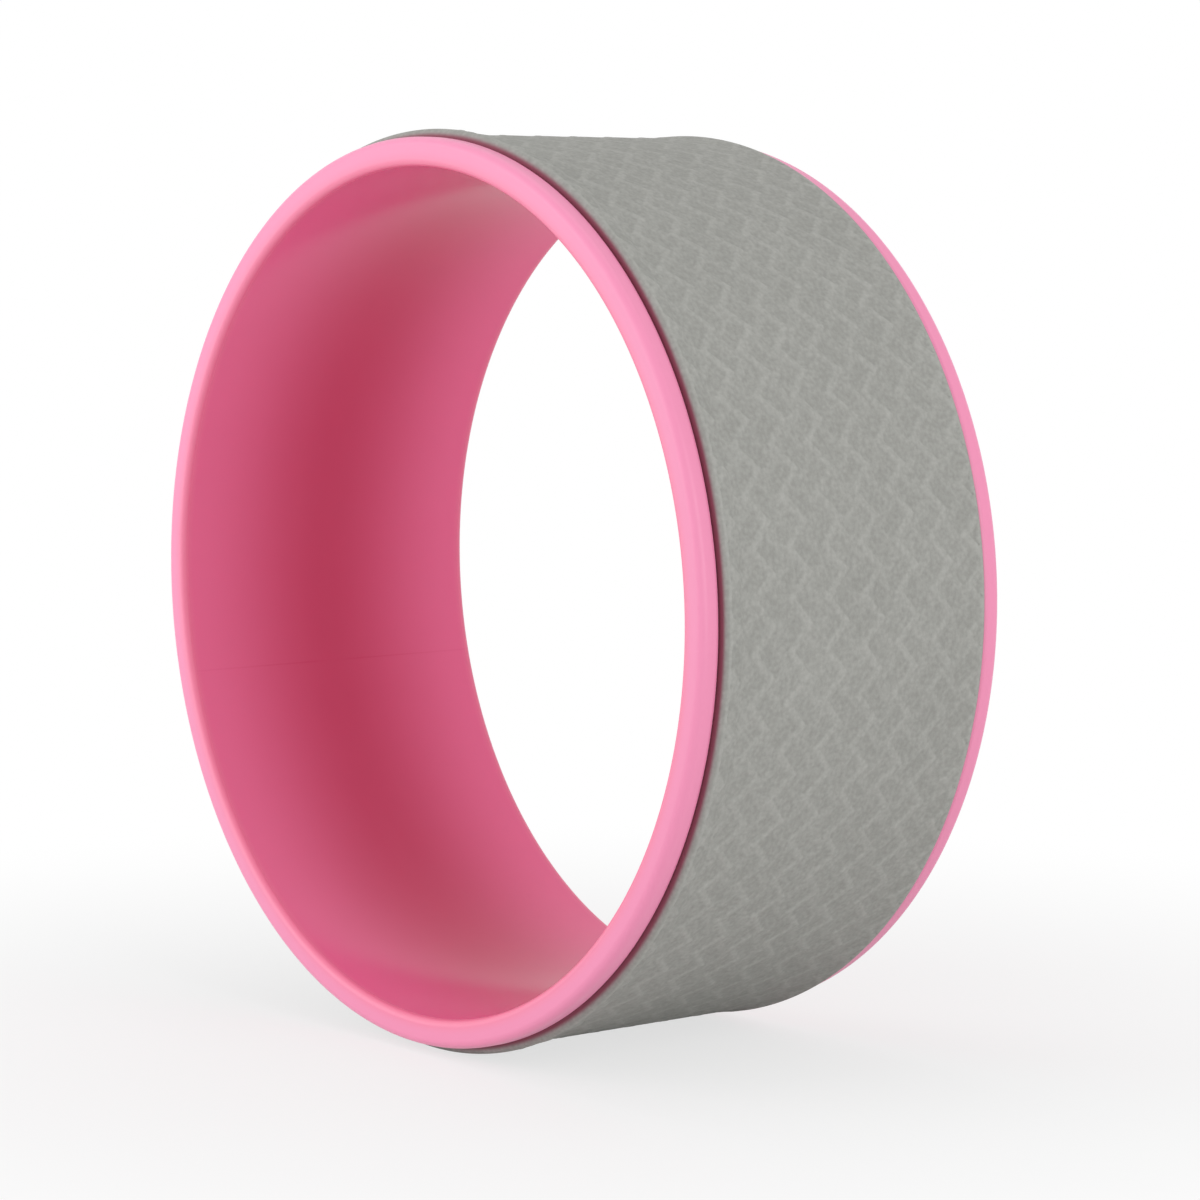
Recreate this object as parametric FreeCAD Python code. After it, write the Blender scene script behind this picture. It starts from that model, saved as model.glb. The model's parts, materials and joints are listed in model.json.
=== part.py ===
# Yoga wheel standing on its tread: a plastic hoop with a lip round each rim,
# and a foam mat bonded into the channel between the lips.
# Millimetres. The origin is the wheel's centre, the wheel's axis is Y, and Z is up.
import FreeCAD
import Part

import math
import os

# Wheel: its diameter over the mat, and its width over the lips
wheel_diameter = 320.0
wheel_width = 130.0

# Hoop: one moulding, a plain wall with a raised lip round each rim
wall_thickness = 5.15
lip_height = 4.85
lip_width = 7.8
lip_outer_round = 3.0
lip_bore_round = 2.5
lip_groove_round = 3.0
channel_corner_round = 0.5

# Mat: a flat foam strip wrapped once round the hoop, its two ends meeting at a butt seam
mat_thickness = 7.3
mat_side_gap = 0.6
mat_edge_round = 1.8
seam_gap = 0.4
seam_angle = 180.0

# Film of adhesive under the mat, just clear of the channel's floor
film_thickness = 0.2
film_clearance = 0.15
film_inset = 2.0

# The largest part of a wall that the round at one of its ends may take. On a lip's inner face
# the round at the top takes much more than the one at the channel's floor.
round_limit_share = 0.45
groove_round_limit_share = 0.7
floor_round_limit_share = 0.2

# Radii, from the mat's face inwards
mat_radius = wheel_diameter / 2
mat_bed_radius = mat_radius - mat_thickness
film_bed_radius = mat_bed_radius - film_thickness
channel_radius = film_bed_radius - film_clearance
lip_radius = channel_radius + lip_height
bore_radius = channel_radius - wall_thickness

# Half widths, from the lips' faces inwards
hoop_half_width = wheel_width / 2
channel_half_width = hoop_half_width - lip_width
mat_half_width = channel_half_width - mat_side_gap
film_half_width = mat_half_width - film_inset

wheel_centre = FreeCAD.Vector(0, 0, 0)
wheel_axis = FreeCAD.Vector(0, 1, 0)
full_turn = 360.0


def limited_round(size, *walls, share=round_limit_share):
    """A round no larger than the walls on both sides of its corner can carry."""
    return min(size, *(wall * share for wall in walls))


def corner_edge(before, corner, after, size):
    """The arc that rounds one corner of an outline, tangent to both of its sides."""
    back = (before - corner).normalize()
    ahead = (after - corner).normalize()
    half_angle = back.getAngle(ahead) / 2
    inwards = (back + ahead).normalize()
    setback = size / math.tan(half_angle)
    depth = size / math.sin(half_angle) - size
    return Part.Arc(corner + back * setback, corner + inwards * depth, corner + ahead * setback).toShape()


def section(corners):
    """A face in the plane of the radius and the axis, from (radius, place on the axis, round) corners."""
    points = [FreeCAD.Vector(radius, along, 0) for radius, along, size in corners]
    starts = []
    ends = []
    rounds = []
    for index, (radius, along, size) in enumerate(corners):
        before = points[index - 1]
        after = points[(index + 1) % len(points)]
        if size == 0:
            starts.append(points[index])
            ends.append(points[index])
            rounds.append(None)
            continue
        arc = corner_edge(before, points[index], after, size)
        starts.append(arc.valueAt(arc.FirstParameter))
        ends.append(arc.valueAt(arc.LastParameter))
        rounds.append(arc)
    edges = []
    for index, arc in enumerate(rounds):
        if arc:
            edges.append(arc)
        side = Part.LineSegment(ends[index], starts[(index + 1) % len(points)])
        edges.append(side.toShape())
    return Part.Face(Part.Wire(edges))


def mirrored(corners):
    """The same corners across the wheel's middle plane, in the order that closes the outline."""
    return [(radius, -along, size) for radius, along, size in reversed(corners)]


def strip_round_wheel(face, gap, gap_radius):
    """A strip turned round the wheel's axis, whose two ends are a gap apart at the seam."""
    gap_angle = math.degrees(gap / gap_radius)
    face.rotate(wheel_centre, wheel_axis, seam_angle + gap_angle / 2)
    return face.revolve(wheel_centre, wheel_axis, full_turn - gap_angle)


def make_hoop():
    lip_depth = lip_radius - bore_radius
    outer_round = limited_round(lip_outer_round, lip_width, lip_depth)
    bore_round = limited_round(lip_bore_round, lip_width, lip_depth)
    groove_round = limited_round(lip_groove_round, lip_height, share=groove_round_limit_share)
    groove_round = limited_round(groove_round, lip_width)
    floor_round = limited_round(channel_corner_round, lip_height, share=floor_round_limit_share)
    rim = [
        (bore_radius, hoop_half_width, bore_round),
        (lip_radius, hoop_half_width, outer_round),
        (lip_radius, channel_half_width, groove_round),
        (channel_radius, channel_half_width, floor_round),
    ]
    return section(rim + mirrored(rim)).revolve(wheel_centre, wheel_axis, full_turn)


def make_mat():
    edge_round = limited_round(mat_edge_round, mat_thickness, mat_half_width)
    edge = [
        (mat_bed_radius, mat_half_width, 0),
        (mat_radius, mat_half_width, edge_round),
    ]
    return strip_round_wheel(section(edge + mirrored(edge)), seam_gap, mat_radius)


def make_adhesive_film():
    edge = [
        (film_bed_radius, film_half_width, 0),
        (mat_bed_radius, film_half_width, 0),
    ]
    return strip_round_wheel(section(edge + mirrored(edge)), seam_gap, mat_radius)


def main():
    os.makedirs("parts", exist_ok=True)
    pieces = {
        "hoop": make_hoop(),
        "adhesive_film": make_adhesive_film(),
        "mat": make_mat(),
    }
    for node, shape in pieces.items():
        shape.exportStep(f"parts/{node}.step")
        print(node, "valid", shape.isValid(), "volume", round(shape.Volume))


main()
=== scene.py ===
import json
import math

import bpy
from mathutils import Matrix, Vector


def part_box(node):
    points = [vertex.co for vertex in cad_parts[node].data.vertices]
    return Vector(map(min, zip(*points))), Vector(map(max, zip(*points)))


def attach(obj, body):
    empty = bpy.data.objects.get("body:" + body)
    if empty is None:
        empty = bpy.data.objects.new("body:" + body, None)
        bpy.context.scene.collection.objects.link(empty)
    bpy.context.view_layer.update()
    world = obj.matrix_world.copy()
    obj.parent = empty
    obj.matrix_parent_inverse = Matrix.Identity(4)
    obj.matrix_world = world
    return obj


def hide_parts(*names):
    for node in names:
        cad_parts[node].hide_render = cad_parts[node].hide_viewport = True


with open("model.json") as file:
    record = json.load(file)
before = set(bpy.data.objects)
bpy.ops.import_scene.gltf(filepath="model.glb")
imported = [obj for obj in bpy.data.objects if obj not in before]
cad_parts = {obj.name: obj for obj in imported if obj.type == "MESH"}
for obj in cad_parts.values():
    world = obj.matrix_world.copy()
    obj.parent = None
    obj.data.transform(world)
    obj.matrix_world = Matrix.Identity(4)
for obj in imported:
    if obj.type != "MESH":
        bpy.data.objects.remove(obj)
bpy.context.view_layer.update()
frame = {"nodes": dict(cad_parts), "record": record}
print("frame loaded:", ", ".join(sorted(frame["nodes"])))

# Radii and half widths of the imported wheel, whose axis is Y and whose centre is the origin
mounts = {mount["name"]: mount for mount in frame["record"]["mounts"]}
boreRadius = mounts["inner_opening"]["dims"]["r_mm"] / 1000
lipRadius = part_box("hoop")[1].x
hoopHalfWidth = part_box("hoop")[1].y
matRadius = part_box("mat")[1].x
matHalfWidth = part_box("mat")[1].y
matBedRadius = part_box("adhesive_film")[1].x
near = 1e-5  # places closer than this count as the same
noiseMiddle = 0.5  # the value that noise wanders about


# One shader socket, so that maths on values reads as a plain expression
class Wire:
    def __init__(self, finish, socket):
        self.finish = finish
        self.socket = socket

    def maths(self, operation, *values):
        return self.finish.node("ShaderNodeMath", {"operation": operation}, dict(enumerate(values)))

    def __add__(self, other):
        return self.maths("ADD", self, other)

    def __sub__(self, other):
        return self.maths("SUBTRACT", self, other)

    def __rsub__(self, other):
        return self.maths("SUBTRACT", other, self)

    def __mul__(self, other):
        return self.maths("MULTIPLY", self, other)

    def __pow__(self, other):
        return self.maths("POWER", self, other)

    def __abs__(self):
        return self.maths("ABSOLUTE", self)

    __radd__ = __add__
    __rmul__ = __mul__


# A node tree with one way to add a node: its settings first, then what goes into its sockets
class Finish:
    def __init__(self, tree):
        self.tree = tree
        tree.nodes.clear()

    def node(self, kind, settings, sockets, output=None):
        made = self.tree.nodes.new(kind)
        for name, value in settings.items():
            setattr(made, name, value)
        for name, value in sockets.items():
            # A mix node has several sockets of one name, and only one of them is enabled
            named = [socket for socket in made.inputs if socket.enabled and socket.name == name]
            target = named[0] if named else made.inputs[name]
            if isinstance(value, Wire):
                self.tree.links.new(value.socket, target)
            else:
                target.default_value = value
        shown = [socket for socket in made.outputs if socket.enabled and output in (None, socket.name)]
        return Wire(self, shown[0]) if shown else None

    def place(self):
        return self.node("ShaderNodeTexCoord", {}, {}, "Object")

    def axes(self, vector):
        made = self.node("ShaderNodeSeparateXYZ", {}, {"Vector": vector}, "X")
        return [Wire(self, socket) for socket in made.socket.node.outputs]

    def stretched(self, vector, scale):
        return self.node("ShaderNodeMapping", {}, {"Vector": vector, "Scale": scale})

    def noise(self, vector, scale=1.0, detail=3.0):
        sockets = {"Vector": vector, "Scale": scale, "Detail": detail}
        return self.node("ShaderNodeTexNoise", {}, sockets, "Fac")

    def ramp(self, value, low, high, start=0.0, end=1.0):
        sockets = {"Value": value, "From Min": low, "From Max": high, "To Min": start, "To Max": end}
        return self.node("ShaderNodeMapRange", {"interpolation_type": "SMOOTHSTEP"}, sockets)

    def mixed(self, factor, first, second):
        sockets = {"Factor": factor, "A": first, "B": second}
        return self.node("ShaderNodeMix", {"data_type": "RGBA"}, sockets)

    def bump(self, height, strength, distance):
        sockets = {"Height": height, "Strength": strength, "Distance": distance}
        return self.node("ShaderNodeBump", {}, sockets)

    def surface(self, sockets):
        shader = self.node("ShaderNodeBsdfPrincipled", {}, sockets)
        self.node("ShaderNodeOutputMaterial", {}, {"Surface": shader})


def newMaterial(name):
    material = bpy.data.materials.new(name)
    material.use_nodes = True
    return material, Finish(material.node_tree)


# An sRGB colour, each level from 0 to 255, as the linear values that shaders take
def srgb(red, green, blue):
    return [*(((level / 255 + 0.055) / 1.055) ** 2.4 for level in (red, green, blue)), 1.0]


# How far two wires, taken as places on crossed axes, are from the middle
def fromMiddle(first, second):
    return (first * first + second * second) ** 0.5


def newPlane(**settings):
    bpy.ops.object.select_all(action="DESELECT")
    bpy.ops.mesh.primitive_plane_add(**settings)
    return bpy.context.object


def applyPlace():
    bpy.ops.object.transform_apply(location=True, rotation=True, scale=True)


def applyModifiers(piece):
    bpy.ops.object.mode_set(mode="OBJECT")
    for modifier in list(piece.modifiers):
        bpy.ops.object.modifier_apply(modifier=modifier.name)


# Selecting by place: wanted says yes or no to each vertex, or to the middle of each edge
def pick(piece, kind, wanted):
    bpy.ops.object.mode_set(mode="EDIT")
    bpy.ops.mesh.select_mode(type=kind)
    bpy.ops.mesh.select_all(action="DESELECT")
    bpy.ops.object.mode_set(mode="OBJECT")
    points = piece.data.vertices
    if kind == "VERT":
        for vertex in points:
            vertex.select = wanted(vertex.co)
    else:
        for edge in piece.data.edges:
            start, end = (points[index].co for index in edge.vertices)
            edge.select = wanted((start + end) / 2)
    bpy.ops.object.mode_set(mode="EDIT")


def cutAll(place, normal, **settings):
    bpy.ops.mesh.select_all(action="SELECT")
    bpy.ops.mesh.bisect(plane_co=place, plane_no=normal, **settings)


def drawOut(step):
    bpy.ops.mesh.extrude_edges_move(TRANSFORM_OT_translate={"value": step})


def closeUp():
    bpy.ops.object.mode_set(mode="EDIT")
    bpy.ops.mesh.select_all(action="SELECT")
    bpy.ops.mesh.remove_doubles(threshold=near)
    bpy.ops.mesh.normals_make_consistent(inside=False)
    bpy.ops.object.mode_set(mode="OBJECT")


# Hoop: the section of its wall and two lips, rounded at the corners and spun round the axis
hoopSet = {
    "lipHeight": 0.00485,
    "lipWidth": 0.0081,  # a little more than the solid's, to close the groove beside the mat
    "outerRound": 0.003,
    "boreRound": 0.0025,
    "grooveRound": 0.0024,
    "floorRound": 0.0005,
    "roundSteps": 8,
    "roundProfile": 0.5,  # a plain arc
    "flatAngle": 1,
    "turnSteps": 360,
    "smoothAngle": 35,
}


def buildHoop():
    channelRadius = lipRadius - hoopSet["lipHeight"]
    channelHalfWidth = hoopHalfWidth - hoopSet["lipWidth"]
    wallThickness = channelRadius - boreRadius
    hoop = newPlane(size=1, location=(boreRadius + wallThickness / 2, 0, 0))
    hoop.name = "hoopShell"
    hoop.scale = (wallThickness, 2 * hoopHalfWidth, 1)
    applyPlace()

    # The wall's outer side is cut at the lips' inner faces and the two ends are drawn up into lips
    def underLip(at):
        return abs(at.x - channelRadius) < near and abs(at.y) > channelHalfWidth + near

    bpy.ops.object.mode_set(mode="EDIT")
    for side in (-1, 1):
        cutAll((0, side * channelHalfWidth, 0), (0, 1, 0))
    pick(hoop, "EDGE", underLip)
    drawOut((hoopSet["lipHeight"], 0, 0))
    bpy.ops.mesh.select_all(action="SELECT")
    bpy.ops.mesh.dissolve_limited(angle_limit=math.radians(hoopSet["flatAngle"]))

    # Each pair of corners gets its own round
    steps, profile = hoopSet["roundSteps"], hoopSet["roundProfile"]
    corners = [
        (boreRadius, hoopHalfWidth, hoopSet["boreRound"]),
        (lipRadius, hoopHalfWidth, hoopSet["outerRound"]),
        (lipRadius, channelHalfWidth, hoopSet["grooveRound"]),
        (channelRadius, channelHalfWidth, hoopSet["floorRound"]),
    ]
    for radius, along, size in corners:
        pick(hoop, "VERT", lambda at: abs(at.x - radius) < near and abs(abs(at.y) - along) < near)
        bpy.ops.mesh.bevel(offset=size, segments=steps, profile=profile, affect="VERTICES")

    # Only the outline is spun
    bpy.ops.mesh.select_all(action="SELECT")
    bpy.ops.mesh.delete(type="ONLY_FACE")
    bpy.ops.mesh.select_all(action="SELECT")
    bpy.ops.mesh.spin(steps=hoopSet["turnSteps"], angle=math.tau, center=(0, 0, 0), axis=(0, 1, 0))
    closeUp()
    bpy.ops.object.shade_smooth_by_angle(angle=math.radians(hoopSet["smoothAngle"]))
    weighted = hoop.modifiers.new("flatLands", "WEIGHTED_NORMAL")
    weighted.keep_sharp = True
    applyModifiers(hoop)
    print("hoop:", len(hoop.data.polygons), "faces")
    return hoop


plasticLook = {
    "lipPink": srgb(250, 152, 190),
    # paintedLightInnerLipPink is painted light: a hotter pink on the lips' inner rounds next to the bore
    "paintedLightInnerLipPink": srgb(253, 140, 172),
    "innerLipDepth": 0.0055,  # from the bore outwards
    # rimPink and paintedShadeWallPink are painted shade for the bore: pale beside the lips, deep in the
    # middle of the wall
    "rimPink": srgb(249, 114, 163),
    "paintedShadeWallPink": srgb(221, 59, 112),
    "lipStart": 0.06,  # off the wheel's middle plane
    "flowSpread": 0.12,
    "wallRoughness": 0.2,
    "lipRoughness": 0.38,
    "roughnessSpread": 0.06,
    "gloss": 0.4,
    "flowScale": 22.0,
    "streakScale": (700.0, 9.0, 700.0),
    "streakStrength": 0.25,
    "streakRise": 0.00002,
    "weldAngle": 195.5,  # from +X towards +Z
    "weldWidth": 0.0005,
    "weldShade": 0.12,
}


def pinkPlastic():
    material, finish = newMaterial("hoopPlastic")
    place = finish.place()
    x, y, z = finish.axes(place)
    flow = finish.noise(place, plasticLook["flowScale"])
    streaks = finish.noise(finish.stretched(place, plasticLook["streakScale"]))

    # The weld line runs along the axis at one angle of the wall
    turn = math.radians(plasticLook["weldAngle"])
    beside = abs(x * math.sin(turn) - z * math.cos(turn))
    sameSide = finish.ramp(x * math.cos(turn) + z * math.sin(turn), 0.0, near)
    weld = sameSide * (1 - finish.ramp(beside, 0.0, plasticLook["weldWidth"])) * plasticLook["weldShade"]

    # The wall's colour is a painted shade, deepest in the middle of the wall and paler towards the lips,
    # where the lips' own pale pink takes over
    offMiddle = abs(y)
    paler = finish.ramp(offMiddle, 0.0, plasticLook["lipStart"])
    paler = paler + (flow - noiseMiddle) * plasticLook["flowSpread"] - weld
    wall = finish.mixed(paler, plasticLook["paintedShadeWallPink"], plasticLook["rimPink"])
    # Painted light: the lips' inner rounds next to the bore are coloured a hotter pink
    outwards = finish.ramp(fromMiddle(x, z), boreRadius, boreRadius + plasticLook["innerLipDepth"])
    onLip = finish.ramp(offMiddle, plasticLook["lipStart"], hoopHalfWidth)
    # The share of the lips' colour against the wall's, over the lips and their inner rounds
    lipBlend = 1 - (1 - outwards) * (1 - onLip)
    lip = finish.mixed(outwards, plasticLook["paintedLightInnerLipPink"], plasticLook["lipPink"])
    roughness = finish.ramp(lipBlend, 0.0, 1.0, plasticLook["wallRoughness"], plasticLook["lipRoughness"])
    finish.surface({
        "Base Color": finish.mixed(lipBlend, wall, lip),
        "Roughness": roughness + (streaks - noiseMiddle) * plasticLook["roughnessSpread"],
        "Specular IOR Level": plasticLook["gloss"],
        "Normal": finish.bump(streaks, plasticLook["streakStrength"], plasticLook["streakRise"]),
    })
    return material


# Mat: one diamond of three slanted ribs, mirrored for its neighbour, repeated over a flat strip
# and bent round
matSet = {
    "repeatsRound": 59,
    "repeatAcross": 0.01546,
    "spareRepeats": 2,  # trimmed off at the strip's sides and ends
    "shiftRound": 0.00575,
    "shiftAcross": 0.00265,
    # Lines along the ribs: the place of each across the diamond, as a share, and its height.
    # The last two bound the rib that makes the zig-zag.
    "ribLines": (
        (0.06, -0.00023), (0.2, -0.0002), (0.3, -0.00038), (0.42, -0.0004),
        (0.55, -0.00035), (0.7, -0.0004), (0.79, -0.0001), (0.91, -0.0001),
    ),
    "turnTop": 0.0,
    "border": -0.00026,
    "rimRise": 0.0017,
    "farRimRise": 0.0008,  # the far edge curls less
    "rimLand": 0.004,
    "rimSlope": 0.006,
    "edgeRound": 0.0018,
    "edgeSteps": 6,
    "seamGap": 0.0004,
    "trimThreshold": near / 10,
    "smoothAngle": 40,
}
faceRadius = matRadius - matSet["rimRise"]
landEnd = matHalfWidth - matSet["rimLand"]


def ribbedDiamond(across, around):
    shares = [share for share, height in matSet["ribLines"]]
    zigzagStart, zigzagEnd = shares[-2:]
    zigzagTop = matSet["ribLines"][-1][1]
    half = 0.5  # of the plane's side
    diamond = newPlane(size=1)
    bpy.ops.object.mode_set(mode="EDIT")
    for share in shares:
        cutAll((share - half, 0, 0), (1, 0, 0))
        cutAll((0, half - share, 0), (0, 1, 0))

    def level(wanted, height):
        pick(diamond, "VERT", wanted)
        bpy.ops.transform.resize(value=(1, 1, 0), center_override=(0, 0, height))

    def onZigzag(place):
        return zigzagStart - near < place + half < zigzagEnd + near

    level(lambda at: True, matSet["border"])
    for share, height in matSet["ribLines"]:
        level(lambda at: abs(at.x + half - share) < near and abs(at.y) < half - near, height)

    # The last rib makes the zig-zag: it runs out at its upper end, and its neighbour's last rib
    # runs in at its lower end, where the turn stands a little higher
    level(lambda at: onZigzag(at.x) and at.y > half - near, zigzagTop)
    level(lambda at: at.x > zigzagEnd - half + near and onZigzag(-at.y), zigzagTop)
    level(lambda at: onZigzag(at.x) and onZigzag(-at.y), matSet["turnTop"])
    bpy.ops.object.mode_set(mode="OBJECT")

    # The square is turned onto a corner and drawn out to the size of one repeat
    diamond.rotation_euler = (0, 0, math.radians(-45))
    applyPlace()
    diamond.scale = (across / math.sqrt(2), around / math.sqrt(2), 1)
    applyPlace()
    return diamond


def ribbedSheet(across, around, copiesAcross, copiesRound):
    diamond = ribbedDiamond(across, around)
    bpy.ops.object.duplicate()
    neighbour = bpy.context.object
    neighbour.scale = (-1, 1, 1)
    neighbour.location = (across / 2, around / 2, 0)
    applyPlace()
    diamond.select_set(True)
    bpy.context.view_layer.objects.active = diamond
    bpy.ops.object.join()
    for copies, offset in ((copiesAcross, (across, 0, 0)), (copiesRound, (0, around, 0))):
        rows = diamond.modifiers.new("rows", "ARRAY")
        rows.count = copies
        rows.use_relative_offset = False
        rows.use_constant_offset = True
        rows.constant_offset_displace = offset
    applyModifiers(diamond)
    closeUp()
    return diamond


def buildMat():
    arc = math.tau - matSet["seamGap"] / faceRadius
    length = faceRadius * arc
    around = length / matSet["repeatsRound"]
    across = matSet["repeatAcross"]
    copiesAcross = math.ceil(2 * matHalfWidth / across) + matSet["spareRepeats"]
    copiesRound = matSet["repeatsRound"] + matSet["spareRepeats"]
    mat = ribbedSheet(across, around, copiesAcross, copiesRound)
    mat.name = "matStrip"
    print("mat sheet:", len(mat.data.polygons), "faces")

    # The sheet stands up with its height along X, its width along Y and its length along Z
    startAcross = matSet["shiftAcross"] - copiesAcross // 2 * across
    startRound = matSet["shiftRound"] - copiesRound / 2 * around
    mat.location = (0, startAcross, startRound)
    mat.rotation_euler = (math.pi / 2, 0, math.pi / 2)
    applyPlace()

    # It is trimmed to the strip, less the rounds of the long edges
    flatHalfWidth = matHalfWidth - matSet["edgeRound"]
    bpy.ops.object.mode_set(mode="EDIT")
    for side in (-1, 1):
        for edge in ((0, side * flatHalfWidth, 0), (0, 0, side * length / 2)):
            outwards = Vector(edge).normalized()
            cutAll(edge, outwards, clear_outer=True, threshold=matSet["trimThreshold"])

    # Both long edges curl up into a low rim, with an eased slope
    bpy.ops.object.mode_set(mode="OBJECT")
    curl = mat.vertex_groups.new(name="curl")
    for vertex in mat.data.vertices:
        climb = min(max((abs(vertex.co.y) - landEnd) / matSet["rimSlope"] + 1, 0), 1)
        full = 1 if vertex.co.y < 0 else matSet["farRimRise"] / matSet["rimRise"]
        curl.add([vertex.index], full * climb * climb * (3 - 2 * climb), "REPLACE")
    lift = mat.modifiers.new("lift", "DISPLACE")
    lift.direction = "X"
    lift.mid_level = 0
    lift.strength = matSet["rimRise"]
    lift.vertex_group = curl.name
    applyModifiers(mat)
    mat.vertex_groups.clear()

    # Each long side is rolled over in small steps and taken down to the bed
    bed = matBedRadius - faceRadius
    for side, top in ((-1, matSet["rimRise"]), (1, matSet["farRimRise"])):
        pick(mat, "EDGE", lambda at: abs(at.y - side * flatHalfWidth) < near)
        bpy.ops.transform.resize(value=(0, 1, 1), center_override=(top, 0, 0))
        for step in range(matSet["edgeSteps"]):
            start, end = (math.pi / 2 * turn / matSet["edgeSteps"] for turn in (step, step + 1))
            outwards = matSet["edgeRound"] * (math.sin(end) - math.sin(start))
            down = matSet["edgeRound"] * (math.cos(end) - math.cos(start))
            drawOut((down, side * outwards, 0))
        drawOut((-matSet["edgeRound"], 0, 0))
        bpy.ops.transform.resize(value=(0, 1, 1), center_override=(bed, 0, 0))

    # The underside joins the two long sides, and a face closes each end
    pick(mat, "EDGE", lambda at: abs(at.x - bed) < near)
    bpy.ops.mesh.bridge_edge_loops()
    for side in (-1, 1):
        pick(mat, "EDGE", lambda at: abs(at.z - side * length / 2) < near)
        bpy.ops.mesh.edge_face_add()
    closeUp()

    bend = mat.modifiers.new("roundTheHoop", "SIMPLE_DEFORM")
    bend.deform_method = "BEND"
    bend.deform_axis = "Y"
    bend.angle = -arc
    applyModifiers(mat)
    mat.location = (faceRadius, 0, 0)
    applyPlace()
    bpy.ops.object.shade_smooth_by_angle(angle=math.radians(matSet["smoothAngle"]))
    print("mat:", len(mat.data.polygons), "faces")
    return mat


foamLook = {
    "ridgeGrey": srgb(180, 180, 175),
    "valleyGrey": srgb(151, 151, 146),
    # The shade between the two greys: where it starts, what adds to it, and its ends
    "baseShade": 0.3,
    # ribPaintedShade is a painted shade: the relief's valleys darker and its rib tops paler
    "ribPaintedShade": 0.33,
    "mottleShade": 0.35,
    "poreShade": 1.25,
    "darkestShade": -0.2,
    "palestShade": 1.2,
    "mottleScale": 40.0,
    "grainScale": 1500.0,
    "poreScale": 650.0,
    "fineDetail": 2.0,
    # A painted shade with the pink of the lip's bounce light, for the crease between lip and mat
    "paintedCreaseShade": srgb(150, 88, 104),
    "paintedShadeWidth": 0.0008,
    "paintedShadeRise": 0.0018,
    "roughness": 0.78,
    "roughnessSpread": 0.15,
    "gloss": 0.3,
    "grainStrength": 0.4,
    "grainRise": 0.00006,
}


def greyFoam():
    material, finish = newMaterial("matFoam")
    place = finish.place()
    x, y, z = finish.axes(place)
    radius = fromMiddle(x, z)

    # The relief's own height, with the curl of the long edges taken off
    valley = min(height for share, height in matSet["ribLines"])
    slopeStart = landEnd - matSet["rimSlope"]
    nearCurl = finish.ramp(y, -slopeStart, -landEnd, 0.0, matSet["rimRise"])
    farCurl = finish.ramp(y, slopeStart, landEnd, 0.0, matSet["farRimRise"])
    rise = finish.ramp(radius - nearCurl - farCurl, faceRadius + valley, faceRadius)

    mottle = finish.noise(place, foamLook["mottleScale"])
    grain = finish.noise(place, foamLook["grainScale"], foamLook["fineDetail"])
    pores = finish.noise(place, foamLook["poreScale"], foamLook["fineDetail"])
    # The ribs' height paints the valleys darker and the rib tops paler, a painted shade; mottle and
    # pores add random tone
    shade = foamLook["baseShade"] + rise * foamLook["ribPaintedShade"]
    shade = shade + (mottle - noiseMiddle) * foamLook["mottleShade"]
    shade = shade + (pores - noiseMiddle) * foamLook["poreShade"]
    paler = finish.ramp(shade, foamLook["darkestShade"], foamLook["palestShade"])
    grey = finish.mixed(paler, foamLook["valleyGrey"], foamLook["ridgeGrey"])

    # Painted shade, tinted by pink light off the lip, darkens the foot of the edge beside the lip, in
    # the crease
    beside = finish.ramp(abs(y), matHalfWidth - foamLook["paintedShadeWidth"], matHalfWidth)
    foot = finish.ramp(radius, lipRadius + foamLook["paintedShadeRise"], lipRadius)
    finish.surface({
        "Base Color": finish.mixed(beside * foot, grey, foamLook["paintedCreaseShade"]),
        "Roughness": foamLook["roughness"] + (grain - noiseMiddle) * foamLook["roughnessSpread"],
        "Specular IOR Level": foamLook["gloss"],
        "Normal": finish.bump(grain + pores, foamLook["grainStrength"], foamLook["grainRise"]),
    })
    return material


# Film: its solid stays and gets a blotchy cream finish
filmLook = {
    "cream": srgb(214, 209, 190),
    "shadow": srgb(196, 190, 170),
    "blotchScale": 60.0,
    "blotchDetail": 4.0,
    "creamUpTo": 0.35,
    "shadowFrom": 0.65,
    "roughness": 0.5,
    "roughnessSpread": 0.3,
    "blotchStrength": 0.3,
    "blotchRise": 0.0001,
}


def creamFilm():
    material, finish = newMaterial("filmCream")
    blotches = finish.noise(finish.place(), filmLook["blotchScale"], filmLook["blotchDetail"])
    darker = finish.ramp(blotches, filmLook["creamUpTo"], filmLook["shadowFrom"])
    finish.surface({
        "Base Color": finish.mixed(darker, filmLook["cream"], filmLook["shadow"]),
        "Roughness": filmLook["roughness"] + (blotches - noiseMiddle) * filmLook["roughnessSpread"],
        "Normal": finish.bump(blotches, filmLook["blotchStrength"], filmLook["blotchRise"]),
    })
    return material


# Studio: a pale floor that fades to white away from the wheel, soft light all round, and three lamps
studioSet = {
    "white": (1.0, 1.0, 1.0, 1.0),
    "floorSize": 12.0,
    "floorPaint": srgb(232, 232, 232),
    "fadeFrom": 0.1,
    "fadeTo": 0.5,
    "whiteNear": 0.7,  # how white the floor is where the fade starts
    "skyLevel": 0.57,  # the sky's strength as a light, where it isn't seen
    "lamps": [
        {"name": "overheadBox", "at": (0.0, 0.0, 1.7), "size": (1.4, 0.6), "power": 3.0},
        {"name": "rightBox", "at": (1.7, 0.0, 0.4), "size": (0.8, 1.2), "power": 8.6},
        {"name": "frontBox", "at": (-0.9, -1.7, 0.4), "size": (2.0, 1.6), "power": 21.5},
    ],
}


# Seen by the camera, in a reflection or through something clear
def seenDirectly(finish):
    rays = ("Is Camera Ray", "Is Glossy Ray", "Is Transmission Ray")
    return sum(finish.node("ShaderNodeLightPath", {}, {}, ray) for ray in rays)


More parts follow.
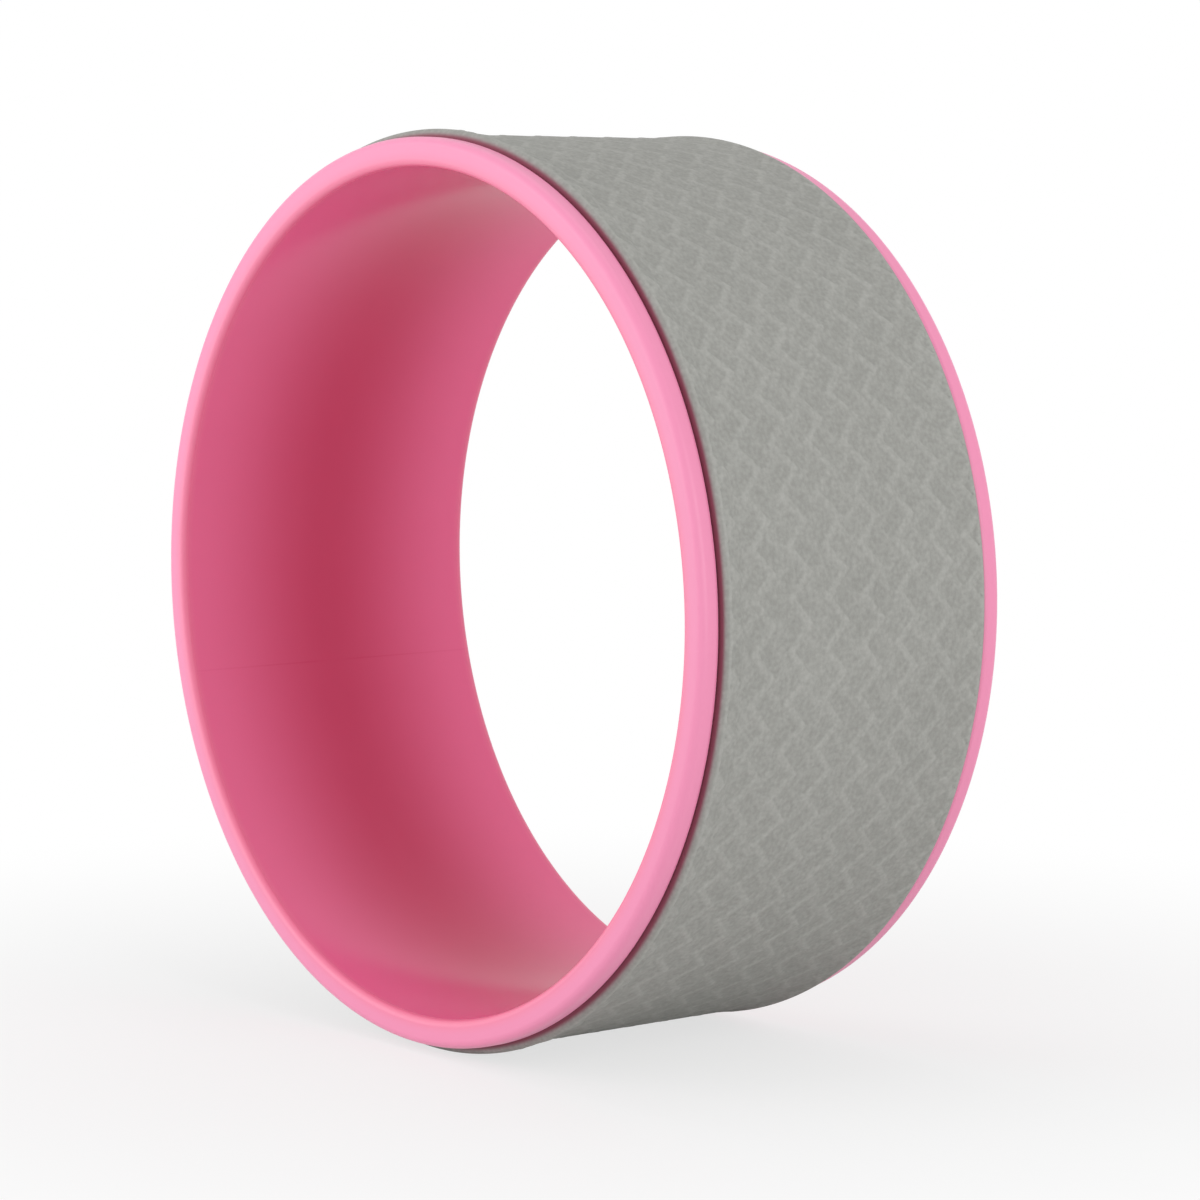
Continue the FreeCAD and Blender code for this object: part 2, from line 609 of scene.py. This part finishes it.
def buildStudio():
    floor = newPlane(size=studioSet["floorSize"], location=(0, 0, -matRadius))
    floor.name = "floor"
    applyPlace()
    material, finish = newMaterial("floorPaint")
    x, y = finish.axes(finish.place())[:2]
    away = fromMiddle(x, y)
    whiter = finish.ramp(away, studioSet["fadeFrom"], studioSet["fadeTo"], studioSet["whiteNear"])
    paint = finish.node("ShaderNodeBsdfDiffuse", {}, {"Color": studioSet["floorPaint"]})
    glow = finish.node("ShaderNodeEmission", {}, {"Color": studioSet["white"], "Strength": 1.0})
    faded = finish.node("ShaderNodeMixShader", {}, {0: whiter * seenDirectly(finish), 1: paint, 2: glow})
    finish.node("ShaderNodeOutputMaterial", {}, {"Surface": faded})
    floor.data.materials.append(material)

    world = bpy.data.worlds.new("studio")
    world.use_nodes = True
    bpy.context.scene.world = world
    sky = Finish(world.node_tree)
    level = studioSet["skyLevel"] + (1 - studioSet["skyLevel"]) * seenDirectly(sky)
    light = sky.node("ShaderNodeBackground", {}, {"Color": studioSet["white"], "Strength": level})
    sky.node("ShaderNodeOutputWorld", {}, {"Surface": light})

    for lamp in studioSet["lamps"]:
        bpy.ops.object.light_add(type="AREA", location=lamp["at"])
        box = bpy.context.object
        box.name = lamp["name"]
        box.data.shape = "RECTANGLE"
        box.data.size, box.data.size_y = lamp["size"]
        box.data.energy = lamp["power"]
        box.rotation_euler = Vector(lamp["at"]).to_track_quat("Z", "Y").to_euler()
    print("studio lit")


# Camera: where the photograph was taken from, and how it was turned
cameraSet = {
    "at": (1.0883, -0.8396, 0.1259),
    "azimuth": 51.751,
    "lookDown": 5.463,
    "lens": 116.48,
    "sensor": 36.0,
}


def buildCamera():
    bpy.ops.object.camera_add(location=cameraSet["at"])
    camera = bpy.context.object
    tilt = math.radians(90 - cameraSet["lookDown"])
    camera.rotation_euler = (tilt, 0, math.radians(cameraSet["azimuth"]))
    camera.data.lens = cameraSet["lens"]
    camera.data.sensor_width = cameraSet["sensor"]
    bpy.context.scene.camera = camera
    print("camera placed")


hoop = buildHoop()
hoop.data.materials.append(pinkPlastic())
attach(hoop, "root")
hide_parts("hoop")

mat = buildMat()
mat.data.materials.append(greyFoam())
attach(mat, "root")
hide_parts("mat")

film = frame["nodes"]["adhesive_film"]
film.data.materials.clear()
film.data.materials.append(creamFilm())

buildStudio()
buildCamera()
bpy.context.scene.view_settings.view_transform = "Standard"
